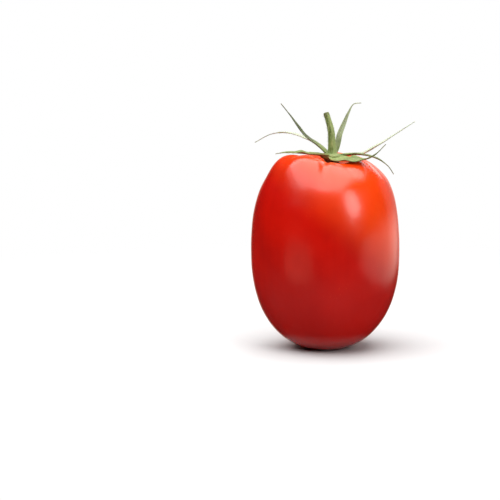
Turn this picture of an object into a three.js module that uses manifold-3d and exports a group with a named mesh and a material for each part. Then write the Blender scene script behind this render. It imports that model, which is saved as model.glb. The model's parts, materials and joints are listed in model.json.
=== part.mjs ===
// A picked plum tomato that stands on the small flat spot at its blossom end: the fruit, its green
// calyx of seven narrow sepals, and the short stem that was left on when it was picked.
// Millimetres, +Z up. The origin is the middle of the flat spot that the fruit stands on.
import * as THREE from "three";
import { mergeVertices } from "three/addons/utils/BufferGeometryUtils.js";
import Module from "manifold-3d";

const wasm = await Module();
wasm.setup();

// Fruit: driving dimensions
const WIDEST_RADIUS = 26;
const WIDEST_HEIGHT = 32.5;
const CROWN_HEIGHT = 71; // where the shoulders would meet with no stem cavity
const SHOULDER_POWER = 2.8;
const BASE_POWER = 2.2;
const FLAT_RADIUS = 6.5;
const CAVITY_DEPTH = 5.5;
const CAVITY_RADIUS = 10.5;
const CAVITY_POWER = 3;
const STEM_OFFSET = 2; // the stem grows a little to the right of the fruit's axis
const FRUIT_SIDES = 84;
const FRUIT_RINGS = 38;

// Broad swellings of the flesh, and the creases that run down from the stem cavity
const SWELLINGS = [
  { lobes: 3, azimuth: 78, height: 0.34 },
  { lobes: 2, azimuth: 20, height: 0.22 },
];
const CREASES = [
  { azimuth: 303, depth: 0.4, width: 11, reach: 26 },
  { azimuth: 266, depth: 0.9, width: 6, reach: 10 },
  { azimuth: 214, depth: 0.5, width: 12, reach: 22 },
  { azimuth: 158, depth: 0.6, width: 12, reach: 26 },
  { azimuth: 104, depth: 0.45, width: 10, reach: 18 },
  { azimuth: 50, depth: 0.6, width: 12, reach: 25 },
  { azimuth: 352, depth: 0.4, width: 10, reach: 16 },
];
// Broad dips of the shoulder, and the rises between them, which have a depth below zero
const DIPS = [
  { azimuth: 236, depth: -1.3, width: 24, reach: 14 },
  { azimuth: 298, depth: 1.5, width: 26, reach: 9 },
  { azimuth: 185, depth: 0.9, width: 42, reach: 24 },
  { azimuth: 195, depth: -1.2, width: 35, reach: 8 },
  { azimuth: 0, depth: 1.2, width: 30, reach: 9 },
];
const RIM_HEIGHT = CROWN_HEIGHT - 3; // creases and dips are deepest here and above
const BODY_RISE = [6, 52]; // the heights between which the swellings grow to their full rise
const RIM_SPAN = [2.5, 11]; // the distances from the axis between which the relief sets in
const CAVITY_SHIFT = [5, 15]; // the distances between which the stem's offset fades
const CORE_HEIGHT = 45; // relief is raised and sunk along lines from this point of the axis

// Calyx: a small crown on the cavity floor, and the sepals that spread from it
const CROWN_FOOT = 65.9;
const SEPAL_PLANE = 68.3;
const SEPAL_THICKNESS = 0.7;
const SEPAL_TIP_WIDTH = 0.8;
const SEPAL_ROOT = 0.3; // the root's place on the half wave that gives a blade its width
const SEPAL_STEPS = 18;
const SEPAL_LANES = 4;
const CROWN_SIDES = 24;
const CROWN_STEPS = 12;
const CROWN_TOP = 3.3; // the height of the crown's middle over its foot
// The crown's outline as [radius, height over the foot]
const CROWN_OUTLINE = [[2.5, 0], [2.7, 1.2], [3.5, 2.1], [3.3, 2.9], [2.2, 3.2]];

// Each sepal: the way that it leaves the crown, its greatest width, how fast it narrows, the rolls of
// its blade at root and tip in degrees, how far its edges rise, and its middle line as
// [out, sideways, up] points.
const SEPALS = [
  {
    azimuth: 12, width: 2.2, taper: 1.5, roll: [0, 6], channel: 0.3,
    line: [[1, 0, 0], [6, 0, 0.6], [11.4, 0, 1], [17.3, 0.3, 3.8], [23.4, 0.5, 7.2], [30.5, 1, 11.4]],
  },
  {
    azimuth: 80, width: 2.4, taper: 1.5, roll: [0, 34], channel: 0.35,
    line: [
      [1, 0, 0], [3, -0.4, 1], [3.9, -1, 3.5], [4.6, -1.6, 7], [5.9, -3.3, 11], [7, -5, 14.9],
      [8, -6.6, 17.6], [8.8, -9.2, 18],
    ],
  },
  {
    azimuth: 125, width: 1.7, taper: 1.5, roll: [0, -10], channel: 0.25,
    line: [
      [1, 0, 0], [6, 0.9, 3.1], [11, 3.6, 5.7], [16.5, 6.9, 7.2], [21.6, 10.6, 6.6], [26.5, 14.4, 3.4],
    ],
  },
  {
    azimuth: 166, width: 2.1, taper: 1.5, roll: [0, -24], channel: 0.3,
    line: [[1, 0, 0], [4.6, 0, 3.2], [9.9, 0, 7.2], [15, 0, 13.9], [18.4, 0, 18]],
  },
  {
    azimuth: 206, width: 6.4, taper: 1.5, roll: [0, -6], channel: 0.5,
    line: [[1, 0, 0], [5, -0.6, 0.5], [11, -2.8, 1.2], [15.5, -4.7, 1.4], [18.9, -6.4, 0.9]],
  },
  {
    azimuth: 290, width: 6.6, taper: 2.6, roll: [4, 26], channel: 0.5,
    line: [
      [1, 0, 0], [6, 0.5, -0.3], [10, 2.7, -0.5], [13.4, 6, -0.4], [16.1, 9.2, 1.2], [18, 12.9, 5.2],
    ],
  },
  {
    azimuth: 338, width: 2, taper: 1.5, roll: [0, 6], channel: 0.3,
    line: [
      [1, 0, 0], [5, 0.3, 0.7], [10, 0.6, 1.3], [14.9, 0.7, 0.6], [18.2, 1.2, -1.1], [20.5, 1.8, -3.1],
      [22.3, 2, -5.9],
    ],
  },
];

// Stem: a tapering stalk with a flared foot, drawn straight and then bent along its line
const STEM_SIDES = 20;
const STEM_STEPS = 20;
const STEM_LINE = [[0.1, 0, 69.6], [0, 0, 73], [-0.3, 0.2, 77], [-1.2, 0.4, 80.6], [-2.1, 0.5, 83.4]];
const STEM_FOOT_RADIUS = 1.65;
const STEM_RADIUS = 1.45;
const STEM_FLARE = 1; // how fast the foot narrows, in mm along the stem
const STEM_END_RADIUS = 0.9;

const FRUIT_RED = 0xd8200a;
const SEPAL_GREEN = 0x7f9a4c;
const STEM_GREEN = 0x6f8a3c;

const radians = THREE.MathUtils.degToRad;
const smoothstep = THREE.MathUtils.smoothstep;

// The height of the shoulders at a distance from the axis, sunk into the stem cavity in the middle.
function shoulderHeight(radius) {
  const share = 1 - (radius / WIDEST_RADIUS) ** SHOULDER_POWER;
  const dome = (CROWN_HEIGHT - WIDEST_HEIGHT) * share ** (1 / SHOULDER_POWER);
  const cavity = CAVITY_DEPTH * Math.exp(-((radius / CAVITY_RADIUS) ** CAVITY_POWER));
  return WIDEST_HEIGHT + dome - cavity;
}

// The depth of the lower half under the widest ring at a distance from the axis.
function baseDepth(radius) {
  return WIDEST_HEIGHT * (1 - (radius / WIDEST_RADIUS) ** BASE_POWER) ** (1 / BASE_POWER);
}

// The fruit's half outline, from the flat spot up its side and into the stem cavity.
function fruitOutline() {
  const samples = [];
  const fine = 200;
  const lowest = baseDepth(FLAT_RADIUS);
  const stretch = WIDEST_HEIGHT / lowest; // the base is drawn out to reach the flat spot
  for (let i = 0; i <= fine; i++) {
    const turn = (i / fine) * (Math.PI / 2);
    const radius = THREE.MathUtils.lerp(FLAT_RADIUS, WIDEST_RADIUS, Math.sin(turn));
    samples.push(new THREE.Vector2(radius, WIDEST_HEIGHT - stretch * baseDepth(radius)));
  }
  for (let i = 1; i <= fine; i++) {
    const turn = (i / fine) * (Math.PI / 2);
    const radius = WIDEST_RADIUS * Math.cos(turn);
    samples.push(new THREE.Vector2(Math.max(radius, 0), shoulderHeight(Math.max(radius, 0))));
  }
  const spaced = new THREE.SplineCurve(samples).getSpacedPoints(FRUIT_RINGS);
  spaced[0].set(FLAT_RADIUS, 0);
  spaced[FRUIT_RINGS].set(0, shoulderHeight(0));
  return [new THREE.Vector2(0, 0), ...spaced];
}

// How far the skin stands out of the turned shape, in mm, by azimuth in degrees.
function relief(azimuth, radius, height) {
  const bodyShare = smoothstep(height, ...BODY_RISE);
  const rimShare = smoothstep(radius, ...RIM_SPAN);
  let out = 0;
  for (const { lobes, azimuth: middle, height: rise } of SWELLINGS) {
    out += rise * Math.cos(lobes * radians(azimuth - middle)) * bodyShare;
  }
  for (const { azimuth: middle, depth, width, reach } of [...CREASES, ...DIPS]) {
    const aside = THREE.MathUtils.euclideanModulo(azimuth - middle + 180, 360) - 180;
    const fade = smoothstep(height, RIM_HEIGHT - reach, RIM_HEIGHT);
    out -= depth * Math.exp(-((aside / width) ** 2)) * fade;
  }
  return out * rimShare;
}

// Turns the outline into a solid, and moves its points by the relief and the stem's offset.
function fruitGeometry() {
  const geometry = new THREE.LatheGeometry(fruitOutline(), FRUIT_SIDES);
  geometry.rotateX(Math.PI / 2);
  const position = geometry.getAttribute("position");
  const point = new THREE.Vector3();
  for (let i = 0; i < position.count; i++) {
    point.fromBufferAttribute(position, i);
    const radius = Math.hypot(point.x, point.y);
    const azimuth = THREE.MathUtils.radToDeg(Math.atan2(point.y, point.x));
    const away = new THREE.Vector3(point.x, point.y, point.z - CORE_HEIGHT).normalize();
    const topShare = smoothstep(point.z, CORE_HEIGHT, shoulderHeight(0));
    const cavityShare = (1 - smoothstep(radius, ...CAVITY_SHIFT)) * topShare;
    point.addScaledVector(away, relief(azimuth, radius, point.z));
    point.x += STEM_OFFSET * cavityShare;
    position.setXYZ(i, point.x, point.y, point.z);
  }
  geometry.deleteAttribute("normal");
  geometry.deleteAttribute("uv");
  return mergeVertices(geometry, 1e-3);
}

// The width of a sepal's blade at a share of its length: full near the root, and drawn to a point.
function sepalWidth(share, greatest, taper) {
  const leaf = Math.sin(Math.PI * THREE.MathUtils.lerp(SEPAL_ROOT, 1, share)) ** taper;
  return Math.max(greatest * leaf, SEPAL_TIP_WIDTH);
}

// One sepal: a thin box of many steps, bent along the sepal's line and given its width and channel.
function sepalGeometry({ azimuth, width, taper, roll, channel, line }) {
  const curve = new THREE.CatmullRomCurve3(
    line.map(([out, aside, up]) => new THREE.Vector3(out, aside, up)), false, "centripetal",
  );
  const geometry = new THREE.BoxGeometry(1, 1, 1, SEPAL_STEPS, SEPAL_LANES, 1);
  const position = geometry.getAttribute("position");
  for (let i = 0; i < position.count; i++) {
    const share = position.getX(i) + 0.5;
    const across = position.getY(i);
    const middle = curve.getPointAt(share);
    const along = curve.getTangentAt(share);
    const side = new THREE.Vector3(0, 1, 0).addScaledVector(along, -along.y).normalize();
    side.applyAxisAngle(along, radians(THREE.MathUtils.lerp(roll[0], roll[1], share)));
    const up = new THREE.Vector3().crossVectors(along, side);
    const breadth = sepalWidth(share, width, taper);
    const lift = channel * (breadth / width) * (2 * across) ** 2;
    middle.addScaledVector(side, across * breadth);
    middle.addScaledVector(up, position.getZ(i) * SEPAL_THICKNESS + lift);
    position.setXYZ(i, middle.x, middle.y, middle.z);
  }
  geometry.rotateZ(radians(azimuth));
  geometry.translate(STEM_OFFSET, 0, SEPAL_PLANE);
  return geometry;
}

// The crown that carries the sepals: a short plug on the cavity floor under a round cap.
function crownGeometry() {
  const outline = new THREE.SplineCurve(
    CROWN_OUTLINE.map(([radius, height]) => new THREE.Vector2(radius, height)),
  ).getPoints(CROWN_STEPS);
  const profile = [new THREE.Vector2(0, 0), ...outline, new THREE.Vector2(0, CROWN_TOP)];
  const geometry = new THREE.LatheGeometry(profile, CROWN_SIDES);
  geometry.rotateX(Math.PI / 2);
  geometry.translate(STEM_OFFSET, 0, CROWN_FOOT);
  return geometry;
}

// The stem, turned straight along Z with its height as its place on the line, then bent along it.
function stemGeometry() {
  const curve = new THREE.CatmullRomCurve3(
    STEM_LINE.map(([x, y, z]) => new THREE.Vector3(STEM_OFFSET + x, y, z)),
  );
  const length = curve.getLength();
  const outline = [new THREE.Vector2(0, 0)];
  for (let i = 0; i <= STEM_STEPS; i++) {
    const share = i / STEM_STEPS;
    const stalk = THREE.MathUtils.lerp(STEM_RADIUS, STEM_END_RADIUS, share);
    const flare = (STEM_FOOT_RADIUS - STEM_RADIUS) * Math.exp((-share * length) / STEM_FLARE);
    outline.push(new THREE.Vector2(stalk + flare, share));
  }
  outline.push(new THREE.Vector2(0, 1));
  const geometry = new THREE.LatheGeometry(outline, STEM_SIDES);
  geometry.rotateX(Math.PI / 2);
  const position = geometry.getAttribute("position");
  for (let i = 0; i < position.count; i++) {
    const share = THREE.MathUtils.clamp(position.getZ(i), 0, 1);
    const middle = curve.getPointAt(share);
    const along = curve.getTangentAt(share);
    const side = new THREE.Vector3(0, 1, 0).addScaledVector(along, -along.y).normalize();
    const front = new THREE.Vector3().crossVectors(side, along);
    middle.addScaledVector(front, position.getX(i));
    middle.addScaledVector(side, position.getY(i));
    position.setXYZ(i, middle.x, middle.y, middle.z);
  }
  return geometry;
}

// A closed geometry as a manifold-3d solid.
function solidOf(geometry) {
  const bare = geometry.clone();
  bare.deleteAttribute("normal");
  bare.deleteAttribute("uv");
  const merged = mergeVertices(bare, 1e-3);
  return new wasm.Manifold(new wasm.Mesh({
    numProp: 3,
    vertProperties: new Float32Array(merged.getAttribute("position").array),
    triVerts: new Uint32Array(merged.index.array),
  }));
}

// A manifold-3d solid as a geometry.
function geometryOf(solid) {
  const { vertProperties, triVerts } = solid.getMesh();
  const geometry = new THREE.BufferGeometry();
  geometry.setAttribute("position", new THREE.BufferAttribute(vertProperties, 3));
  geometry.setIndex(new THREE.BufferAttribute(triVerts, 1));
  geometry.computeVertexNormals();
  return geometry;
}

function named(name, geometry, color, roughness) {
  const material = new THREE.MeshStandardMaterial({ color, roughness, metalness: 0 });
  const mesh = new THREE.Mesh(geometry, material);
  mesh.name = name;
  return mesh;
}

const calyx = SEPALS.map((sepal) => solidOf(sepalGeometry(sepal)))
  .reduce((joined, sepal) => joined.add(sepal), solidOf(crownGeometry()));

const tomato = new THREE.Group();
tomato.add(named("fruit", fruitGeometry(), FRUIT_RED, 0.28));
tomato.add(named("calyx", geometryOf(calyx), SEPAL_GREEN, 0.7));
tomato.add(named("stem", stemGeometry(), STEM_GREEN, 0.65));

export default tomato;
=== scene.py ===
"""A picked plum tomato that stands on its blossom end: fruit, calyx of seven sepals and short stem.

Shapes are worked out in millimetres and made metres when a mesh is finished. +Z is up, -Y is the
front, and the origin is the middle of the flat spot that the fruit stands on.
"""

import bisect
import json
import logging
import math
import random
from dataclasses import dataclass, field
from enum import Enum
from typing import Any, Sequence

import bmesh
import bpy
from mathutils import Matrix, Vector, noise

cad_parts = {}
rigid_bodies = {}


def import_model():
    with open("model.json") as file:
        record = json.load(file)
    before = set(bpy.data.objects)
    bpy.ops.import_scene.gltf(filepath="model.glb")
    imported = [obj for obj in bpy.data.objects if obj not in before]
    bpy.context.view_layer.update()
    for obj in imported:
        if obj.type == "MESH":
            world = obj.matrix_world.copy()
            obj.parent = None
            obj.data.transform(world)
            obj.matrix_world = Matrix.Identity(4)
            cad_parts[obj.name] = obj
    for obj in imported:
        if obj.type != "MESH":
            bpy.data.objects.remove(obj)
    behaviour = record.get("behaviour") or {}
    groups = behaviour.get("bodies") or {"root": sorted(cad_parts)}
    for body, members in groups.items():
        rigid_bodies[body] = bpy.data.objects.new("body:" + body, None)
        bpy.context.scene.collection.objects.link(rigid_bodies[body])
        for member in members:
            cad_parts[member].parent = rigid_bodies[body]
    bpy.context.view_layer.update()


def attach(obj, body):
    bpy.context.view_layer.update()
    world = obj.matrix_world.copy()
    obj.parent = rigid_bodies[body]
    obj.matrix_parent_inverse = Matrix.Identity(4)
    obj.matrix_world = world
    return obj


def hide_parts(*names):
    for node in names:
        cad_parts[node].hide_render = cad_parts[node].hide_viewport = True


MM = 0.001
MM_PER_METRE = 1000
BODY = "root"
WELD_GAP = 1e-5

# How far right of the fruit's axis the stem stands, in millimetres.
STEM_OFFSET = 2.0

# How deep the finest relief is, in metres.
BUMP_DISTANCE = 0.00012

# The maps on the green pieces: across and along, and how pale and how far darkened as painted shade.
BLADE_MAP = "blade"
TONE_MAP = "tone"

Pair = tuple[float, float]
Triple = tuple[float, float, float]

log = logging.getLogger("tomato")


def smoothstep(value: float, low: float, high: float) -> float:
    """Return 0 up to low, 1 from high on, and a smooth rise between them."""
    share = min(max((value - low) / (high - low), 0.0), 1.0)
    return share * share * (3 - 2 * share)


def between(first: float, last: float, share: float) -> float:
    """Return the value at a share of the way from first to last."""
    return first + (last - first) * share


class Track:
    """A line of short straight steps, walked by its length."""

    def __init__(self, places: Sequence[Vector]) -> None:
        """Measure how long the line is at each of its places.

        Args:
            places: The ends of the steps, in millimetres.
        """
        self.places = places
        self.lengths = [0.0]
        for start, end in zip(places, places[1:]):
            self.lengths.append(self.lengths[-1] + (end - start).length)

    def at(self, share: float) -> Vector:
        """Find the place at a share of the line's length.

        Args:
            share: The share, from 0 to 1.

        Returns:
            The place.
        """
        goal = min(max(share, 0.0), 1.0) * self.lengths[-1]
        spot = min(bisect.bisect_left(self.lengths, goal), len(self.lengths) - 1)
        if spot == 0:
            return self.places[0].copy()
        start, end = self.lengths[spot - 1], self.lengths[spot]
        return self.places[spot - 1].lerp(self.places[spot], (goal - start) / (end - start))


class Route(Track):
    """A smooth line through a few points."""

    SPAN_STEPS = 60
    REACH = 0.004

    def __init__(self, points: Sequence[Sequence[float]]) -> None:
        """Draw the line.

        Args:
            points: The points that the line passes, in millimetres.
        """
        knots = [Vector(point) for point in points]
        knots = [2 * knots[0] - knots[1], *knots, 2 * knots[-1] - knots[-2]]
        places = []
        for spot in range(len(knots) - 3):
            places += self._span(*knots[spot:spot + 4])
        super().__init__([*places, knots[-2]])

    def _span(self, before: Vector, start: Vector, end: Vector, after: Vector) -> list[Vector]:
        """Draw one span between two points, as a centripetal Catmull-Rom curve.

        Args:
            before: The point before the span.
            start: The span's first point.
            end: The span's last point.
            after: The point after the span.

        Returns:
            The fine steps of the span, without its last point.
        """
        pace_in = (start - before).length ** 0.5
        pace = (end - start).length ** 0.5
        pace_out = (after - end).length ** 0.5
        leave = (start - before) / pace_in - (end - before) / (pace_in + pace) + (end - start) / pace
        arrive = (end - start) / pace - (after - start) / (pace + pace_out) + (after - end) / pace_out
        leave, arrive = leave * pace, arrive * pace
        bend = -3 * start + 3 * end - 2 * leave - arrive
        twist = 2 * start - 2 * end + leave + arrive
        times = [step / self.SPAN_STEPS for step in range(self.SPAN_STEPS)]
        return [start + leave * t + bend * t * t + twist * t ** 3 for t in times]

    def along(self, share: float) -> Vector:
        """Return the direction of the line at a share of its length."""
        return (self.at(share + self.REACH) - self.at(share - self.REACH)).normalized()

    def cross(self, share: float, roll: float = 0.0) -> tuple[Vector, Vector]:
        """Return the sideways and the upward direction across the line.

        Args:
            share: The share of the line's length.
            roll: How far the two are turned about the line, in degrees.

        Returns:
            The sideways direction, which starts from +Y, and the upward one.
        """
        along = self.along(share)
        side = (Vector((0, 1, 0)) - along * along.y).normalized()
        side.rotate(Matrix.Rotation(math.radians(roll), 3, along))
        return side, along.cross(side)


def turned(outline: Sequence[Sequence[float]], sides: int) -> bmesh.types.BMesh:
    """Turn an outline about the Z axis into a closed shape.

    Args:
        outline: Pairs of radius and height, which start and end on the axis.
        sides: The number of sides round the axis.

    Returns:
        The closed shape, with its faces pointing out.
    """
    bm = bmesh.new()
    points = [bm.verts.new((radius, 0, height)) for radius, height in outline]
    edges = [bm.edges.new(pair) for pair in zip(points, points[1:])]
    bmesh.ops.spin(bm, geom=points + edges, cent=(0, 0, 0), axis=(0, 0, 1), dvec=(0, 0, 0),
                   angle=math.tau, steps=sides, use_merge=True, use_duplicate=False)
    bmesh.ops.remove_doubles(bm, verts=bm.verts, dist=WELD_GAP)
    bmesh.ops.recalc_face_normals(bm, faces=bm.faces)
    return bm


def finished(name: str, bm: bmesh.types.BMesh, sharp_angle: float = 180) -> bpy.types.Object:
    """Make a piece of a shape drawn in millimetres, at the origin and in metres.

    Args:
        name: The piece's name.
        bm: The shape, which is freed.
        sharp_angle: Edges that turn by more than this many degrees stay sharp.

    Returns:
        The piece, with smooth faces.
    """
    bmesh.ops.scale(bm, vec=(MM, MM, MM), verts=bm.verts)
    mesh = bpy.data.meshes.new(name)
    bm.to_mesh(mesh)
    bm.free()
    mesh.shade_smooth()
    if sharp_angle < 180:
        mesh.set_sharp_from_angle(angle=math.radians(sharp_angle))
    piece = bpy.data.objects.new(name, mesh)
    bpy.context.scene.collection.objects.link(piece)
    return piece


class Field:
    """A node's output that arithmetic can be written with."""

    def __init__(self, wiring: "Wiring", socket: bpy.types.NodeSocket) -> None:
        """Keep the output and the wiring that it belongs to."""
        self.wiring = wiring
        self.socket = socket

    def math(self, operation: str, first: Any, *others: Any) -> "Field":
        """Add a Math node.

        Args:
            operation: The node's operation.
            first: Its first value or field.
            others: Its other values or fields.

        Returns:
            The node's result.
        """
        values = dict(enumerate((first, *others)))
        return self.wiring.node("ShaderNodeMath", {"operation": operation}, values)

    def __add__(self, other: Any) -> "Field":
        """Return the sum."""
        return self.math("ADD", self, other)

    def __sub__(self, other: Any) -> "Field":
        """Return the difference."""
        return self.math("SUBTRACT", self, other)

    def __rsub__(self, other: Any) -> "Field":
        """Return the difference from a value."""
        return self.math("SUBTRACT", other, self)

    def __mul__(self, other: Any) -> "Field":
        """Return the product."""
        return self.math("MULTIPLY", self, other)

    def __truediv__(self, other: Any) -> "Field":
        """Return the quotient."""
        return self.math("DIVIDE", self, other)

    def __abs__(self) -> "Field":
        """Return the value without its sign."""
        return self.math("ABSOLUTE", self)

    def root(self) -> "Field":
        """Return the square root."""
        return self.math("SQRT", self)

    def rise(self, low: float, high: float) -> "Field":
        """Return 0 up to low, 1 from high on, and a smooth rise between them."""
        values = {"Value": self, "From Min": low, "From Max": high}
        return self.wiring.node("ShaderNodeMapRange", {"interpolation_type": "SMOOTHSTEP"}, values)

    def fall(self, low: float, high: float) -> "Field":
        """Return 1 up to low, 0 from high on, and a smooth fall between them."""
        return 1 - self.rise(low, high)


class Wiring:
    """The nodes of one material or world."""

    def __init__(self, tree: bpy.types.NodeTree) -> None:
        """Start from an empty tree."""
        self.tree = tree
        tree.nodes.clear()

    def node(self, kind: str, settings: dict[str, Any] | None = None,
             values: dict[str | int, Any] | None = None, output: str | int = 0) -> Field:
        """Add a node.

        Args:
            kind: The node's type.
            settings: Its settings by name, set first.
            values: The values or fields of its inputs, by name or number.
            output: The output to return, by name or number.

        Returns:
            That output.
        """
        made = self.tree.nodes.new(kind)
        for name, value in (settings or {}).items():
            setattr(made, name, value)
        for name, value in (values or {}).items():
            if isinstance(value, Field):
                self.tree.links.new(value.socket, made.inputs[name])
            else:
                made.inputs[name].default_value = value
        return Field(self, made.outputs[output] if made.outputs else None)

    def colour(self, amount: Any, first: Any, second: Any) -> Field:
        """Mix two colours.

        Args:
            amount: How much of the second colour, from 0 to 1.
            first: The first colour.
            second: The second colour.

        Returns:
            The mixed colour.
        """
        colours = [value if isinstance(value, Field) else (*value, 1) for value in (first, second)]
        values = {0: amount, 6: colours[0], 7: colours[1]}
        return self.node("ShaderNodeMix", {"data_type": "RGBA"}, values, 2)

    def noise(self, place: Field, scale: float, detail: float = 2, roughness: float = 0.5) -> Field:
        """Return smooth noise of about 0 to 1.

        Args:
            place: The coordinates that it is read at.
            scale: Its swings for each unit of the coordinates.
            detail: How many finer layers it has.
            roughness: How strong the finer layers are.

        Returns:
            The noise.
        """
        values = {"Vector": place, "Scale": scale, "Detail": detail, "Roughness": roughness}
        return self.node("ShaderNodeTexNoise", None, values)

    def vector(self, x: Any, y: Any, z: Any) -> Field:
        """Return the vector of three values or fields."""
        return self.node("ShaderNodeCombineXYZ", None, {0: x, 1: y, 2: z})

    def parts(self, vector: Field) -> tuple[Field, Field, Field]:
        """Return the three parts of a vector."""
        split = self.node("ShaderNodeSeparateXYZ", None, {0: vector}).socket.node
        return tuple(Field(self, socket) for socket in split.outputs)

    def place(self) -> Field:
        """Return the piece's own coordinates, in metres."""
        return self.node("ShaderNodeTexCoord", None, None, "Object")

    def mapped(self, name: str) -> tuple[Field, Field]:
        """Return the two parts of a map on the piece."""
        return self.parts(self.node("ShaderNodeUVMap", {"uv_map": name}))[:2]

    def bump(self, strength: float, height: Field) -> Field:
        """Return the normals of a surface with fine relief."""
        values = {"Strength": strength, "Distance": BUMP_DISTANCE, "Height": height}
        return self.node("ShaderNodeBump", None, values)


@dataclass(frozen=True)
class Finish:
    """What every finish has: a name, the record's slot, and a shader with its fixed values."""

    name: str
    slot: str
    fixed: dict[str, Any] = field(default_factory=dict)
    bump_strength: float = 0.35

    def material(self) -> bpy.types.Material:
        """Make the material of this finish.

        Returns:
            The material, with its varying inputs wired.
        """
        material = bpy.data.materials.new(self.name)
        material.use_nodes = True
        wiring = Wiring(material.node_tree)
        shader = wiring.node("ShaderNodeBsdfPrincipled", None, self.fixed)
        wiring.node("ShaderNodeOutputMaterial", None, {"Surface": shader})
        for name, value in self.varying(wiring).items():
            wiring.tree.links.new(value.socket, shader.socket.node.inputs[name])
        return material

    def varying(self, wiring: Wiring) -> dict[str, Field]:
        """Wire what changes over the surface.

        Args:
            wiring: The material's nodes.

        Returns:
            The fields by the shader's input names.
        """
        raise NotImplementedError

    def dress(self, piece: bpy.types.Object) -> None:
        """Give a piece this finish and the body that it rides on.

        Args:
            piece: The piece.
        """
        piece.data.materials.append(self.material())
        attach(piece, BODY)
        log.info("%s: %d faces", piece.name, len(piece.data.polygons))


@dataclass(frozen=True)
class Skin(Finish):
    """Ripe skin: red, pale specks and corky scars; painted shade low down, painted light upper right.

    Zones are heights and reaches are distances, in millimetres. Each pair is where a smooth change
    begins and ends. A scale is a noise's swings in a metre.
    """

    # Painted shade: the darker red that the skin turns towards the bottom.
    bottom_shade: Triple = (0.3, 0.0015, 0.0003)
    deep: Triple = (0.41, 0.0025, 0.0004)
    bright: Triple = (0.56, 0.005, 0.0006)
    # Painted light: the brighter orange of the upper right, where the lamps fall.
    lit_orange: Triple = (0.84, 0.055, 0.003)
    pale: Triple = (0.8, 0.1, 0.015)
    # The corky ring round the stem, made darker as painted shade under the calyx.
    cork_and_shade: Triple = (0.16, 0.085, 0.025)
    scar: Triple = (0.1, 0.045, 0.02)
    top_zone: Pair = (59.0, 67.0)
    bottom_zone: Pair = (0.2, 5.0)
    bottom_shade_zone: Pair = (0.0, 55.0)
    lit_cheek_height: float = 47.0
    lit_cheek_reach: Pair = (-5.0, 15.0)
    mottle_scale: float = 42.0
    streaks_round: float = 16.0
    streaks_up: float = 0.03
    speck_scale: float = 800.0
    speck_radii: Pair = (0.08, 0.2)
    crowd_scale: float = 130.0
    shoulder_reach: Pair = (6.0, 17.0)
    ragged_scale: float = 900.0
    cork_and_shade_reach: Pair = (3.6, 5.4)
    scar_reach: Pair = (1.4, 2.2)
    gloss_scale: float = 160.0
    pore_scale: float = 2600.0
    wave_scale: float = 240.0

    def varying(self, wiring: Wiring) -> dict[str, Field]:
        """Wire the skin's colour, gloss and fine relief.

        Args:
            wiring: The material's nodes.

        Returns:
            The fields by the shader's input names.
        """
        place = wiring.place()
        x, y, z = (part * MM_PER_METRE for part in wiring.parts(place))
        girth = (x * x + y * y + 0.01).root()
        stem_x = x - STEM_OFFSET
        from_stem = (stem_x * stem_x + y * y).root()
        top = z.rise(*self.top_zone)
        bottom = z.fall(*self.bottom_zone)

        mottle = wiring.noise(place, self.mottle_scale, 3)
        around = (x / girth * self.streaks_round, y / girth * self.streaks_round)
        streaks = wiring.noise(wiring.vector(*around, z * self.streaks_up), 1, 3, 0.6)
        ripeness = (mottle * 0.9 + streaks * 0.12).rise(0.3, 0.75)
        colour = wiring.colour(ripeness, self.deep, self.bright)
        # Painted shade: the red darkens towards the bottom of the fruit.
        colour = wiring.colour(z.fall(*self.bottom_shade_zone) * 0.6, colour, self.bottom_shade)
        # Painted light: the upper right, which the lamps light, is painted a brighter orange.
        lit_cheek = x * 0.7 + (z - self.lit_cheek_height) * 0.8 + (mottle - 0.5) * 5
        colour = wiring.colour(lit_cheek.rise(*self.lit_cheek_reach) * 0.9, colour, self.lit_orange)

        cells = {"Vector": place, "Scale": self.speck_scale}
        dots = wiring.node("ShaderNodeTexVoronoi", None, cells, "Distance").fall(*self.speck_radii)
        crowd = wiring.noise(place, self.crowd_scale).rise(0.45, 0.7)
        colour = wiring.colour(dots * crowd * 0.16, colour, self.pale)
        shoulder = top * from_stem.fall(*self.shoulder_reach) * streaks.rise(0.35, 0.7)
        colour = wiring.colour(shoulder * 0.5, colour, self.pale)

        ragged = wiring.noise(place, self.ragged_scale, 3, 0.6)
        # A corky ring round the stem, darkened further as painted shade under the calyx.
        cork_and_shade = top * (from_stem + ragged * 2.2).fall(*self.cork_and_shade_reach)
        colour = wiring.colour(cork_and_shade, colour, self.cork_and_shade)
        scar = bottom * (girth + ragged * 1.2).fall(*self.scar_reach)
        colour = wiring.colour(scar, colour, self.scar)
        rough = (cork_and_shade + scar).rise(0, 1)

        gloss = wiring.noise(place, self.gloss_scale, 3)
        roughness = gloss * 0.06 + 0.2 + rough * 0.4
        pores = wiring.noise(place, self.pore_scale)
        waves = wiring.noise(place, self.wave_scale)
        relief = waves * 0.6 + pores * 0.06 + rough * ragged * 1.5
        normal = wiring.bump(self.bump_strength, relief)
        return {"Base Color": colour, "Roughness": roughness, "Normal": normal}


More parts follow.
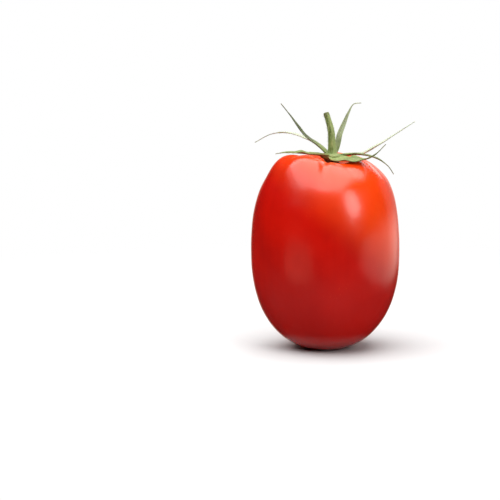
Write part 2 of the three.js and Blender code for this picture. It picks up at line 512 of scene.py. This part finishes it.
@dataclass(frozen=True)
class Leaf(Finish):
    """A sepal's finish: green with paler veins, lighter edges, a drying tip, and a brownish foot darkened as
    painted shade.

    The piece's first map runs across and along each sepal from 0 to 1, and widths and reaches are
    shares of those. Its second map says how far the sepal has paled, and how far it is darkened as painted
    shade.
    """

    shade: Triple = (0.12, 0.17, 0.038)
    light: Triple = (0.24, 0.29, 0.085)
    vein: Triple = (0.34, 0.39, 0.17)
    dry: Triple = (0.2, 0.16, 0.08)
    faded: Triple = (0.5, 0.53, 0.41)
    # Painted shade: the darker green of sepals that are seen in shade.
    shaded_green: Triple = (0.075, 0.085, 0.042)
    # Painted shade: the crown's foot under the sepals, brownish and darkened as shade.
    foot: Triple = (0.12, 0.045, 0.01)
    foot_shade_zone: Pair = (66.9, 68.0)
    foot_shade_reach: Pair = (0.0, 0.02)
    mottle_scale: float = 320.0
    grain_across: float = 26.0
    grain_along: float = 9.0
    midrib_width: Pair = (0.04, 0.16)
    vein_place: float = 0.42
    vein_slant: float = 0.15
    vein_width: Pair = (0.02, 0.09)
    vein_reach: Pair = (0.55, 0.9)
    edge_width: Pair = (0.8, 1.0)
    tone_reach: Pair = (0.08, 0.4)
    dry_reach: Pair = (0.9, 1.16)

    def varying(self, wiring: Wiring) -> dict[str, Field]:
        """Wire the sepal's colour, gloss and veins.

        Args:
            wiring: The material's nodes.

        Returns:
            The fields by the shader's input names.
        """
        place = wiring.place()
        across, along = wiring.mapped(BLADE_MAP)
        paled, shaded = wiring.mapped(TONE_MAP)
        aside = abs(across - 0.5) * 2

        mottle = wiring.noise(place, self.mottle_scale, 3)
        fibres = wiring.vector(across * self.grain_across, along * self.grain_along, 0)
        grain = wiring.noise(fibres, 1, 3)
        colour = wiring.colour((mottle * 0.7 + grain * 0.3).rise(0.3, 0.7), self.shade, self.light)
        midrib = aside.fall(*self.midrib_width)
        lateral = abs(aside - self.vein_place + along * self.vein_slant).fall(*self.vein_width)
        veins = midrib + lateral * along.fall(*self.vein_reach) * 0.55
        colour = wiring.colour(veins * 0.5, colour, self.vein)
        colour = wiring.colour(aside.rise(*self.edge_width) * 0.25, colour, self.vein)
        reach = along.rise(*self.tone_reach)
        colour = wiring.colour(paled * reach, colour, self.faded)
        # Painted shade: sepals seen edge-on or from below are painted darker.
        colour = wiring.colour(shaded * reach, colour, self.shaded_green)
        drying = (along + mottle * 0.25).rise(*self.dry_reach)
        colour = wiring.colour(drying * (1 - paled) * 0.7, colour, self.dry)
        # Painted shade: the crown's foot below the sepals is painted dark brown.
        height = wiring.parts(place)[2] * MM_PER_METRE
        plug = height.fall(*self.foot_shade_zone) * along.fall(*self.foot_shade_reach)
        colour = wiring.colour(plug, colour, self.foot)

        roughness = mottle * 0.2 + 0.5 - veins * 0.08
        relief = grain * 0.3 + mottle * 0.4 - veins * 0.8
        normal = wiring.bump(self.bump_strength, relief)
        return {"Base Color": colour, "Roughness": roughness, "Normal": normal}


@dataclass(frozen=True)
class Stalk(Finish):
    """The stem's finish: green with fine lengthwise lines, a dark dried end, and a lit side painted paler.

    The piece's map runs around and along the stem from 0 to 1.
    """

    shade: Triple = (0.09, 0.145, 0.025)
    light: Triple = (0.32, 0.39, 0.14)
    dry: Triple = (0.14, 0.13, 0.06)
    # Painted light: where round the stem the lit, paler side lies, and how wide it is.
    lit_side: float = 0.42
    lit_side_width: Pair = (0.02, 0.25)
    line_scale: float = 3200.0
    line_stretch: float = 190.0
    mottle_scale: float = 500.0
    tone_range: Pair = (0.4, 0.85)
    dry_reach: Pair = (0.93, 1.0)
    bump_strength: float = 0.6

    def varying(self, wiring: Wiring) -> dict[str, Field]:
        """Wire the stem's colour, gloss and lines.

        Args:
            wiring: The material's nodes.

        Returns:
            The fields by the shader's input names.
        """
        place = wiring.place()
        around, along = wiring.mapped(BLADE_MAP)
        x, y, z = wiring.parts(place)
        strands = wiring.vector(x * self.line_scale, y * self.line_scale, z * self.line_stretch)
        lines = wiring.noise(strands, 1, 3, 0.55)
        mottle = wiring.noise(place, self.mottle_scale, 3)
        # Painted light: the side of the stem that the lamp lights is painted paler.
        pale = abs(around - self.lit_side).fall(*self.lit_side_width)
        tone = lines * 0.8 + mottle * 0.3 + pale * 0.25
        colour = wiring.colour(tone.rise(*self.tone_range), self.shade, self.light)
        dried = (along + mottle * 0.06).rise(*self.dry_reach)
        colour = wiring.colour(dried * 0.6, colour, self.dry)
        roughness = lines * 0.16 + 0.48 + dried * 0.2
        normal = wiring.bump(self.bump_strength, lines + dried * mottle)
        return {"Base Color": colour, "Roughness": roughness, "Normal": normal}


@dataclass(frozen=True)
class Down(Finish):
    """The finish of fine hairs: pale, and greener in places."""

    green: Triple = (0.35, 0.45, 0.16)
    pale: Triple = (0.72, 0.76, 0.55)
    scale: float = 1500.0
    spread: Pair = (0.35, 0.65)

    def varying(self, wiring: Wiring) -> dict[str, Field]:
        """Wire the hairs' colour.

        Args:
            wiring: The material's nodes.

        Returns:
            The fields by the shader's input names.
        """
        tone = wiring.noise(wiring.place(), self.scale, 1).rise(*self.spread)
        return {"Base Color": wiring.colour(tone, self.green, self.pale)}


@dataclass(frozen=True)
class Swelling:
    """A broad rise of the flesh that comes back a few times round the fruit."""

    lobes: int
    azimuth: float
    rise: float


@dataclass(frozen=True)
class Crease:
    """A shallow furrow that runs down from the stem cavity."""

    azimuth: float
    depth: float
    width: float
    reach: float


@dataclass
class Fruit:
    """The fruit: one body, with sunken shoulders round the stem and a small flat spot below.

    A zone is the heights, and a pair of radii the distances, where a smooth change begins and ends.
    """

    finish: Finish
    widest_radius: float = 26.0
    widest_height: float = 32.5
    crown_height: float = 71.0
    shoulder_power: float = 2.8
    base_power: float = 2.2
    flat_radius: float = 6.5
    cavity_depth: float = 5.5
    cavity_radius: float = 10.5
    cavity_power: float = 3.0
    core_height: float = 45.0
    cushion_height: float = 0.55
    cushion_radii: Pair = (1.6, 4.2)
    scar_depth: float = 0.22
    scar_radius: float = 1.3
    spot_height: float = 1.0
    body_zone: Pair = (6.0, 52.0)
    rim_drop: float = 3.0
    calm_radii: Pair = (2.5, 11.0)
    shift_radii: Pair = (5.0, 15.0)
    shift_drop: float = 6.1
    ripples: tuple[Pair, ...] = ((14.0, 0.16), (5.5, 0.035))
    ripple_zone: Pair = (1.0, 10.0)
    sides: int = 288
    rings: int = 190
    samples: int = 600
    swellings: tuple[Swelling, ...] = (Swelling(3, 78, 0.34), Swelling(2, 20, 0.22))
    creases: tuple[Crease, ...] = (
        Crease(303, 0.4, 11, 26), Crease(266, 0.9, 6, 10), Crease(214, 0.5, 12, 22),
        Crease(158, 0.6, 12, 26), Crease(104, 0.45, 10, 18), Crease(50, 0.6, 12, 25),
        Crease(352, 0.4, 10, 16), Crease(236, -1.3, 24, 14), Crease(298, 1.5, 26, 9),
        Crease(185, 0.9, 42, 24), Crease(195, -1.2, 35, 8), Crease(0, 1.2, 30, 9),
    )

    def shoulder_height(self, radius: float) -> float:
        """Work out the height of the upper side at a distance from the axis.

        Args:
            radius: The distance from the axis.

        Returns:
            The height above the flat spot.
        """
        share = max(1 - (radius / self.widest_radius) ** self.shoulder_power, 0.0)
        dome = (self.crown_height - self.widest_height) * share ** (1 / self.shoulder_power)
        cavity = self.cavity_depth * math.exp(-((radius / self.cavity_radius) ** self.cavity_power))
        return self.widest_height + dome - cavity

    def base_depth(self, radius: float) -> float:
        """Return the depth below the widest ring of the lower side at a distance from the axis."""
        share = max(1 - (radius / self.widest_radius) ** self.base_power, 0.0)
        return self.widest_height * share ** (1 / self.base_power)

    def outline(self) -> list[Vector]:
        """Draw the half outline from the middle of the flat spot to the middle of the cavity.

        Returns:
            Evenly spaced points, each a radius and a height.
        """
        stretch = self.widest_height / self.base_depth(self.flat_radius)
        quarter = [step / self.samples * math.pi / 2 for step in range(self.samples + 1)]
        samples = [Vector((0, 0))]
        for turn in quarter:
            radius = between(self.flat_radius, self.widest_radius, math.sin(turn))
            samples.append(Vector((radius, self.widest_height - stretch * self.base_depth(radius))))
        for turn in quarter[1:]:
            radius = max(self.widest_radius * math.cos(turn), 0.0)
            samples.append(Vector((radius, self.shoulder_height(radius))))
        track = Track(samples)
        points = [track.at(ring / self.rings) for ring in range(self.rings + 1)]
        points[0].x = points[-1].x = 0.0
        return points

    def relief(self, azimuth: float, radius: float, height: float) -> float:
        """Return how far the skin stands out of the turned shape.

        Args:
            azimuth: The direction from the axis, in degrees.
            radius: The distance from the axis.
            height: The height above the flat spot.

        Returns:
            The rise of the skin in millimetres.
        """
        out = 0.0
        body_share = smoothstep(height, *self.body_zone)
        for swelling in self.swellings:
            turn = math.radians(azimuth - swelling.azimuth)
            out += swelling.rise * math.cos(swelling.lobes * turn) * body_share
        rim = self.crown_height - self.rim_drop
        for crease in self.creases:
            aside = (azimuth - crease.azimuth + 180) % 360 - 180
            fade = smoothstep(height, rim - crease.reach, rim)
            out -= crease.depth * math.exp(-((aside / crease.width) ** 2)) * fade
        return out * smoothstep(radius, *self.calm_radii)

    def shaped(self, place: Vector) -> Vector:
        """Move a point of the turned shape to where the grown fruit has it.

        Args:
            place: The point on the turned shape.

        Returns:
            The point with the skin's relief, the cavity under the stem and the two small scars.
        """
        radius = math.hypot(place.x, place.y)
        azimuth = math.degrees(math.atan2(place.y, place.x))
        out = self.relief(azimuth, radius, place.z)
        ripple = sum(noise.noise(place / size) * rise for size, rise in self.ripples)
        out += ripple * smoothstep(place.z, *self.ripple_zone)
        moved = place + (place - Vector((0, 0, self.core_height))).normalized() * out
        cavity_share = 1 - smoothstep(radius, *self.shift_radii)
        cavity_share *= smoothstep(place.z, self.core_height, self.crown_height - self.shift_drop)
        moved.x += STEM_OFFSET * cavity_share
        if place.z > self.core_height:
            moved.z += self.cushion_height * (1 - smoothstep(radius, *self.cushion_radii))
        elif place.z < self.spot_height:
            moved.z += self.scar_depth * math.exp(-((radius / self.scar_radius) ** 2))
        return moved

    def build(self) -> None:
        """Model the fruit."""
        bm = turned(self.outline(), self.sides)
        for vert in bm.verts:
            vert.co = self.shaped(vert.co)
        piece = finished("fruit_skin", bm)
        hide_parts("fruit")
        self.finish.dress(piece)


@dataclass(frozen=True)
class Sepal:
    """One sepal: the way it leaves the crown, its sizes, and its middle line.

    The line's points are [out, sideways, up] from the middle of the crown, in millimetres. The tone
    says how far the sepal has paled, and how far it is darkened as painted shade.
    """

    azimuth: float
    width: float
    roll: Pair
    channel: float
    line: tuple[Triple, ...]
    curl: float
    phase: float
    tone: Pair = (0.0, 0.0)
    taper: float = 1.5


@dataclass
class Calyx:
    """The calyx: a small crown on the cavity floor, and the sepals that spread from it.

    The points of the crown's side are [radius, 0, height], and those of its cap [radius, height].
    """

    finish: Finish
    crown_foot: float = 65.9
    sepal_plane: float = 68.3
    root_thickness: float = 0.66
    tip_thickness: float = 0.24
    thinning: float = 0.6
    edge_thinning: float = 0.5
    root_width: float = 0.8
    tip_width: float = 0.3
    arch_start: float = 0.3
    wave_turns: Pair = (17.0, 31.0)
    wave_zone: Pair = (0.1, 0.4)
    midrib_depth: float = 0.1
    midrib_radius: float = 0.22
    midrib_widths: Pair = (0.6, 2.0)
    steps: int = 72
    lanes: int = 18
    crown_side: tuple[Triple, ...] = (
        (2.5, 0, 0), (2.7, 0, 1.2), (3.5, 0, 2.1), (3.3, 0, 2.9), (2.2, 0, 3.2))
    crown_cap: tuple[Pair, ...] = ((0.9, 3.35), (0.0, 3.4))
    crown_steps: int = 18
    crown_sides: int = 72
    lobe_rise: float = 0.16
    lobe_spread: Pair = (0.85, 1.0)
    lobe_zone: Pair = (0.8, 2.0)
    sharp_angle: float = 55.0
    sepals: tuple[Sepal, ...] = (
        Sepal(12, 1.9, (0, 6), 0.3, (
            (1, 0, 0), (6, 0, 0.4), (11.4, 0, 0.7), (17.3, 0.3, 3.6), (23.4, 0.5, 7.2),
            (30.5, 1, 11.4)), 0.12, 0.4, (0.85, 0)),
        Sepal(80, 2.0, (0, 34), 0.35, (
            (1, 0, 0), (3, -0.8, 1), (3.9, -1.5, 3.5), (4.6, -2.1, 7), (5.9, -3.5, 11),
            (7, -5, 14.9), (8, -6.6, 17.6), (8.8, -9.2, 18)), 0.1, 1.9, (0.4, 0)),
        Sepal(125, 1.7, (0, -10), 0.25, (
            (1, 0, 0), (6, 0.9, 3.1), (11, 3.6, 5.7), (16.5, 6.9, 7.2), (21.6, 10.6, 6.6),
            (26.5, 14.4, 3.4)), 0.1, 3.1, (0.85, 0)),
        Sepal(166, 2.1, (0, -24), 0.3, (
            (1, 0, 0), (4.6, 0, 3.2), (9.9, 0, 7.2), (15, 0, 13.9), (18.4, 0, 18)),
              0.08, 4.4, (0, 0.85)),
        Sepal(206, 6.4, (0, -6), 0.5, (
            (1, 0, 0), (5, -0.6, 0.5), (11, -2.8, 1.2), (15.5, -4.7, 1.4), (18.9, -6.4, 0.9)),
              0.25, 5.2),
        Sepal(290, 6.6, (4, 26), 0.5, (
            (1, 0, 0), (6, 0.5, -0.8), (10, 2.7, -0.6), (13.4, 6, -0.4), (16.1, 9.2, 1.2),
            (18, 12.9, 5.2)), 0.25, 0.9, (0, 0.2), 2.6),
        Sepal(338, 1.9, (0, 6), 0.3, (
            (1, 0, 0), (5, 0.3, 0.4), (10, 0.6, 0.8), (14.9, 0.7, 0.1), (18.2, 1.2, -1.4),
            (20.5, 1.8, -3.3), (22.3, 2, -5.9)), 0.1, 2.6, (0, 0.5)),
    )

    def breadth(self, sepal: Sepal, share: float) -> float:
        """Return the width of a sepal at a share of its length."""
        leaf = math.sin(math.pi * between(self.arch_start, 1, share)) ** sepal.taper
        return max(sepal.width * leaf, between(self.root_width, self.tip_width, share))

    def lift(self, sepal: Sepal, share: float, aside: float) -> float:
        """Return how far a sepal's surface rises above its middle line.

        Args:
            sepal: The sepal.
            share: The share of its length.
            aside: The place across it, from -1 at one edge to 1 at the other.

        Returns:
            The rise of its channel and its wavy edges, less that of its midrib.
        """
        breadth = self.breadth(sepal, share)
        full = breadth / sepal.width
        slow, fast = self.wave_turns
        wave = math.sin(share * slow + sepal.phase) + 0.5 * math.sin(share * fast + 2 * sepal.phase)
        lift = sepal.channel * full * aside * aside
        lift += sepal.curl * full * abs(aside) ** 3 * wave * smoothstep(share, *self.wave_zone)
        off_midrib = aside / 2 * breadth / self.midrib_radius
        midrib = math.exp(-(off_midrib ** 2)) * smoothstep(breadth, *self.midrib_widths)
        return lift - self.midrib_depth * midrib

    def blade(self, sepal: Sepal) -> bmesh.types.BMesh:
        """Model one sepal: a flat slab of many steps, bent along its line and given its thickness.

        Args:
            sepal: The sepal's sizes and line.

        Returns:
            The closed blade, mapped across and along.
        """
        bm = bmesh.new()
        bmesh.ops.create_grid(bm, x_segments=self.steps, y_segments=self.lanes, size=0.5)
        bmesh.ops.solidify(bm, geom=bm.faces[:], thickness=1.0)
        blade_map = bm.loops.layers.uv.new(BLADE_MAP)
        tone_map = bm.loops.layers.uv.new(TONE_MAP)
        for face in bm.faces:
            for loop in face.loops:
                loop[blade_map].uv = (loop.vert.co.y + 0.5, loop.vert.co.x + 0.5)
                loop[tone_map].uv = sepal.tone
        middle_height = sum(vert.co.z for vert in bm.verts) / len(bm.verts)
        route = Route(sepal.line)
        for vert in bm.verts:
            share, aside = vert.co.x + 0.5, 2 * vert.co.y
            face_side = 1 if vert.co.z > middle_height else -1
            side, up = route.cross(share, between(*sepal.roll, share))
            thickness = between(self.root_thickness, self.tip_thickness, share ** self.thinning)
            thickness *= 1 - self.edge_thinning * aside * aside
            route_place = route.at(share) + side * (vert.co.y * self.breadth(sepal, share))
            vert.co = route_place + up * (face_side * thickness / 2 + self.lift(sepal, share, aside))
        bmesh.ops.rotate(bm, verts=bm.verts, cent=(0, 0, 0),
                         matrix=Matrix.Rotation(math.radians(sepal.azimuth), 3, "Z"))
        bmesh.ops.translate(bm, verts=bm.verts, vec=(STEM_OFFSET, 0, self.sepal_plane))
        bmesh.ops.recalc_face_normals(bm, faces=bm.faces)
        return bm

    def crown(self) -> bmesh.types.BMesh:
        """Model the crown: a short plug on the cavity floor under a round cap with soft lobes.

        Returns:
            The closed crown.
        """
        outline = Route(self.crown_side)
        points = [outline.at(step / self.crown_steps) for step in range(self.crown_steps + 1)]
        profile = [(0, 0), *((point.x, point.z) for point in points), *self.crown_cap]
        bm = turned(profile, self.crown_sides)
        for vert in bm.verts:
            azimuth = math.degrees(math.atan2(vert.co.y, vert.co.x))
            near = max(math.cos(math.radians(azimuth - sepal.azimuth)) for sepal in self.sepals)
            cap_share = smoothstep(vert.co.z, *self.lobe_zone)
            lobe = 1 + self.lobe_rise * smoothstep(near, *self.lobe_spread) * cap_share
            vert.co.x *= lobe
            vert.co.y *= lobe
        bmesh.ops.translate(bm, verts=bm.verts, vec=(STEM_OFFSET, 0, self.crown_foot))
        bm.loops.layers.uv.new(BLADE_MAP)
        bm.loops.layers.uv.new(TONE_MAP)
        return bm

    def build(self) -> bpy.types.Object:
        """Model the calyx and fuse its sepals with the crown.

        Returns:
            The calyx's piece.
        """
        piece = finished("calyx_sepals", self.crown(), self.sharp_angle)
        roots = bpy.data.collections.new("sepal_roots")
        for sepal in self.sepals:
            roots.objects.link(finished("blade", self.blade(sepal)))
        union = piece.modifiers.new("union", "BOOLEAN")
        union.operation = "UNION"
        union.operand_type = "COLLECTION"
        union.collection = roots
        union.solver = "EXACT"
        graph = bpy.context.evaluated_depsgraph_get()
        fused = bpy.data.meshes.new_from_object(piece.evaluated_get(graph))
        piece.modifiers.clear()
        piece.data = fused
        fused.shade_smooth()
        fused.set_sharp_from_angle(angle=math.radians(self.sharp_angle))
        for blade in roots.objects[:]:
            bpy.data.objects.remove(blade)
        bpy.data.collections.remove(roots)
        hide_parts("calyx")
        self.finish.dress(piece)
        return piece


@dataclass
class Stem:
    """The stem: a tapering stalk with a flared foot, soft ribs, a low knuckle and a dried end.

    The end's points are [share of the end's radius, share of the stem's length].
    """

    finish: Finish
    line: tuple[Triple, ...] = (
        (0.1, 0, 68.7), (0.1, 0, 69.6), (0, 0, 73), (-0.3, 0.2, 77), (-1.2, 0.4, 80.6), (-2.1, 0.5, 83.4))
    foot_radius: float = 1.95
    radius: float = 1.5
    end_radius: float = 0.9
    flare: float = 1.0
    knuckle_rise: float = 0.1
    knuckle_drop: float = 0.9
    knuckle_width: float = 0.7
    end: tuple[Pair, ...] = ((0.88, 1.006), (0.7, 1.003), (0.4, 0.994), (0.0, 0.991))
    ribs: int = 5
    rib_rise: float = 0.05
    rib_twist: float = 0.6
    sides: int = 60
    steps: int = 90
    sharp_angle: float = 60.0

    def build(self) -> bpy.types.Object:
        """Model the stem, turned straight and then bent along its line.

        Returns:
            The stem's piece.
        """
        route = Route([(STEM_OFFSET + x, y, z) for x, y, z in self.line])
        length = route.lengths[-1]
        outline = [(0.0, 0.0)]
        for step in range(self.steps + 1):
            share = step / self.steps
            stalk = between(self.radius, self.end_radius, share)
            flare = (self.foot_radius - self.radius) * math.exp(-share * length / self.flare)
            from_knuckle = (1 - share) * length - self.knuckle_drop
            knuckle = self.knuckle_rise * math.exp(-((from_knuckle / self.knuckle_width) ** 2))
            outline.append((stalk + flare + knuckle, share))
        outline += [(outline[-1][0] * width, share) for width, share in self.end]
        bm = turned(outline, self.sides)
        stem_map = bm.loops.layers.uv.new(BLADE_MAP)
        for face in bm.faces:
            for loop in face.loops:
                around = math.atan2(loop.vert.co.y, loop.vert.co.x) / math.tau + 0.5
                loop[stem_map].uv = (around, min(loop.vert.co.z, 1.0))
        for vert in bm.verts:
            share = vert.co.z
            around = math.atan2(vert.co.y, vert.co.x)
            rib = 1 + self.rib_rise * math.cos(self.ribs * around + self.rib_twist * share)
            past_end = route.along(1) * (max(share - 1, 0) * length)
            side, _ = route.cross(share)
            front = side.cross(route.along(share))
            middle = route.at(share) + past_end
            vert.co = middle + front * (vert.co.x * rib) + side * (vert.co.y * rib)
        bmesh.ops.recalc_face_normals(bm, faces=bm.faces)
        piece = finished("stem_stalk", bm, self.sharp_angle)
        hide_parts("stem")
        self.finish.dress(piece)
        return piece


@dataclass(frozen=True)
class Patch:
    """A face that hairs may stand on: its corners in millimetres, its direction and its area."""

    corners: tuple[Triple, ...]
    normal: Triple
    area: float

    def place(self, weights: Sequence[float]) -> Vector:
        """Return the mean of the corners, each counted by its weight."""
        shares = [weight / sum(weights) for weight in weights]
        return sum((Vector(spot) * share for spot, share in zip(self.corners, shares)), Vector())


@dataclass
class Hairs:
    """Fine hairs that stand on a green piece, each a slim straight spike.

    They grow on the faces whose height is in the zone. The tip is a share of the radius.
    """

    finish: Finish
    name: str
    count: int
    length: Pair
    zone: Pair
    seed: int
    radius: float = 0.028
    tip: float = 0.12
    sides: int = 3
    lean: float = 0.45
    sunk: float = 0.05
    least_weight: float = 0.05

    def spike(self) -> bpy.types.Mesh:
        """Model one hair of unit length, standing on the origin.

        Returns:
            The hair's mesh, in millimetres.
        """
        bm = bmesh.new()
        bmesh.ops.create_cone(bm, cap_ends=True, segments=self.sides, radius1=1.0, radius2=self.tip,
                              depth=1.0)
        bmesh.ops.translate(bm, verts=bm.verts, vec=(0, 0, 0.5))
        mesh = bpy.data.meshes.new("hair")
        bm.to_mesh(mesh)
        bm.free()
        return mesh

    def patches(self, carrier: bpy.types.Object) -> list[Patch]:
        """List the faces that may carry hairs, in an order that is the same on every run.

        A union leaves the faces in an order that changes from run to run, so they are sorted by place.

        Args:
            carrier: The piece that the hairs grow from.

        Returns:
            The faces that may carry hairs.
        """
        lowest, highest = self.zone
        found = []
        for face in carrier.data.polygons:
            corners = sorted(tuple(carrier.data.vertices[spot].co / MM) for spot in face.vertices)
            patch = Patch(tuple(corners), tuple(face.normal), face.area)
            if lowest < patch.place([1.0] * len(corners)).z < highest:
                found.append(patch)
        return sorted(found, key=lambda patch: patch.corners)

    def build(self, carrier: bpy.types.Object) -> None:
        """Stand the hairs on a piece.

        Args:
            carrier: The piece that they grow from.
        """
        draw = random.Random(self.seed)
        patches = self.patches(carrier)
        spike = self.spike()
        bm = bmesh.new()
        for patch in draw.choices(patches, [patch.area for patch in patches], k=self.count):
            foot = patch.place([draw.random() + self.least_weight for _ in patch.corners])
            stray = Vector([draw.uniform(-1, 1) for _ in range(3)]) * self.lean
            way = (Vector(patch.normal) + stray).normalized()
            length = draw.uniform(*self.length)
            spin = way.to_track_quat("Z", "X").to_matrix().to_4x4()
            size = Matrix.Diagonal((self.radius, self.radius, length, 1))
            hair = spike.copy()
            hair.transform(Matrix.Translation(foot - way * self.sunk) @ spin @ size)
            bm.from_mesh(hair)
            bpy.data.meshes.remove(hair)
        bpy.data.meshes.remove(spike)
        self.finish.dress(finished(self.name, bm))


class LampShape(Enum):
    """The shapes that a soft lamp may have."""

    PANEL = "RECTANGLE"
    ROUND = "ELLIPSE"


@dataclass(frozen=True)
class Lamp:
    """A soft lamp that faces the fruit. Its place and sizes are in metres."""

    name: str
    place: Triple
    size: Pair
    radiance: float
    shape: LampShape
    tint: Triple = (1, 1, 1)
    aim: Triple = (0, 0, 0.045)

    def build(self) -> None:
        """Hang the lamp."""
        light = bpy.data.lights.new(self.name, "AREA")
        light.shape = self.shape.value
        light.size, light.size_y = self.size
        filled = math.pi / 4 if self.shape is LampShape.ROUND else 1.0
        light.energy = self.radiance * math.pi * self.size[0] * self.size[1] * filled
        light.color = self.tint
        lamp = bpy.data.objects.new(self.name, light)
        lamp.location = self.place
        way = Vector(self.place) - Vector(self.aim)
        lamp.rotation_euler = way.to_track_quat("Z", "Y").to_euler()
        lamp.visible_camera = False
        bpy.context.scene.collection.objects.link(lamp)


@dataclass
class Studio:
    """The plain pale floor, the soft lamps, the white surroundings and the camera."""

    elevation: float = 8.0
    distance: float = 0.8
    frame_width: float = 0.1767
    frame_middle: Pair = (-0.0267, 0.0345)
    sensor: float = 36.0
    floor_radius: float = 0.3
    floor_sides: int = 96
    floor_fade: float = 0.03
    floor_rim: float = 0.02
    mirrored_fade: Pair = (0.012, 0.019)
    floor_colour: tuple[float, ...] = (0.6, 0.6, 0.6, 1)
    surround: float = 0.02
    lamps: tuple[Lamp, ...] = (
        Lamp("overhead_window", (-0.3, -0.28, 1.05), (1.7, 1.9), 2.6, LampShape.PANEL,
             aim=(-0.3, -0.28, 0.045)),
        Lamp("window_glow", (-0.55, -0.33, 1.15), (2.6, 2.3), 1.25, LampShape.PANEL,
             aim=(-0.55, -0.33, 0.045)),
        Lamp("side_lamp", (0.73, -0.82, 0.536), (0.6, 0.55), 6.2, LampShape.ROUND),
        Lamp("back_window", (0.45, 0.85, 0.6), (0.5, 0.5), 2.4, LampShape.PANEL),
        Lamp("back_card", (0.75, 1.1, 0.25), (1.7, 0.9), 0.35, LampShape.PANEL),
        Lamp("rim_card", (0, 1.25, 0), (0.9, 1.3), 0.7, LampShape.ROUND, (1, 0.45, 0.3)),
        Lamp("right_card", (0.63, 0.08, -0.06), (1.2, 0.18), 0.65, LampShape.ROUND, (1, 0.9, 0.78)),
        Lamp("right_glow", (0.68, 0.1, -0.065), (1.7, 0.26), 0.55, LampShape.ROUND, (1, 0.9, 0.78)),
        Lamp("left_card", (-0.4, -0.45, -0.07), (0.5, 0.22), 0.5, LampShape.ROUND, (1, 0.85, 0.6)),
    )

    def paper(self) -> bpy.types.Material:
        """Make the floor's pale paper, which turns clear towards its rim.

        In mirrored rays it turns clear close to the fruit, which lets cards light it from below.

        Returns:
            The floor's material.
        """
        material = bpy.data.materials.new("floor_paper")
        material.use_nodes = True
        wiring = Wiring(material.node_tree)
        values = {"Base Color": self.floor_colour, "Roughness": 0.9, "Specular IOR Level": 0.0}
        paper = wiring.node("ShaderNodeBsdfPrincipled", None, values)
        clear = wiring.node("ShaderNodeBsdfTransparent")
        x, y, _ = wiring.parts(wiring.place())
        distance = (x * x + y * y).root()
        fade = distance.rise(self.floor_fade, self.floor_radius - self.floor_rim)
        mirrored = wiring.node("ShaderNodeLightPath", None, None, "Is Glossy Ray")
        fade = fade.math("MAXIMUM", fade, mirrored * distance.rise(*self.mirrored_fade))
        sheet = wiring.node("ShaderNodeMixShader", None, {0: fade, 1: paper, 2: clear})
        wiring.node("ShaderNodeOutputMaterial", None, {"Surface": sheet})
        return material

    def floor(self) -> None:
        """Lay the floor, a round sheet of paper that fades into the surroundings."""
        bm = bmesh.new()
        bmesh.ops.create_circle(bm, cap_ends=True, segments=self.floor_sides,
                                radius=self.floor_radius / MM)
        floor = finished("floor", bm)
        floor.data.materials.append(self.paper())

    def surroundings(self) -> None:
        """Make the surroundings white to look at, and a dim even light for the fruit."""
        world = bpy.data.worlds.new("surroundings")
        world.use_nodes = True
        wiring = Wiring(world.node_tree)
        seen = wiring.node("ShaderNodeLightPath", None, None, "Is Camera Ray")
        strength = seen * (1 - self.surround) + self.surround
        background = wiring.node("ShaderNodeBackground", None, {"Color": (1, 1, 1, 1), "Strength": strength})
        wiring.node("ShaderNodeOutputWorld", None, {"Surface": background})
        bpy.context.scene.world = world

    def camera(self) -> None:
        """Set up the camera at the height and distance of the reference view."""
        tilt = math.radians(self.elevation)
        aside, up = self.frame_middle
        aim = Vector((aside, 0, up / math.cos(tilt)))
        back = Vector((0, -math.cos(tilt), math.sin(tilt)))
        data = bpy.data.cameras.new("camera")
        data.sensor_width = self.sensor
        data.lens = self.sensor * self.distance / self.frame_width
        camera = bpy.data.objects.new("camera", data)
        camera.location = aim + back * self.distance
        camera.rotation_euler = back.to_track_quat("Z", "Y").to_euler()
        bpy.context.scene.collection.objects.link(camera)
        bpy.context.scene.camera = camera
        bpy.context.scene.view_settings.view_transform = "Standard"

    def build(self) -> None:
        """Set up the studio."""
        self.camera()
        self.floor()
        self.surroundings()
        for lamp in self.lamps:
            lamp.build()


def corners(box: tuple[Vector, Vector]) -> list[list[float]]:
    """Return a box's two corners as plain lists of numbers."""
    return [list(corner) for corner in box]


def main() -> None:
    """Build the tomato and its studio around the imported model."""
    logging.basicConfig(level=logging.INFO, format="%(name)s: %(message)s")
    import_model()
    Studio().build()
    skin = Skin("ripe_skin", "skin", {
        "Subsurface Weight": 0.12, "Subsurface Scale": 0.003, "Subsurface Radius": (1.0, 0.12, 0.04),
        "Coat Weight": 0.05, "Coat Roughness": 0.14,
    })
    green = {"Subsurface Scale": 0.0006, "Subsurface Radius": (0.5, 0.8, 0.2)}
    leaf = Leaf("sepal_green", "sepal", {"Subsurface Weight": 0.1, **green})
    stalk = Stalk("stalk_green", "stalk", {"Subsurface Weight": 0.08, **green})
    Fruit(skin).build()
    sepals = Calyx(leaf).build()
    stem = Stem(stalk).build()
    Hairs(Down("calyx_down", "sepal"), "calyx_hairs", 1500, (0.25, 0.6), (64.3, math.inf), 11).build(sepals)
    Hairs(Down("stem_down", "stalk"), "stem_hairs", 520, (0.3, 0.75), (69.8, 82.6), 5).build(stem)


if __name__ == "__main__":
    main()
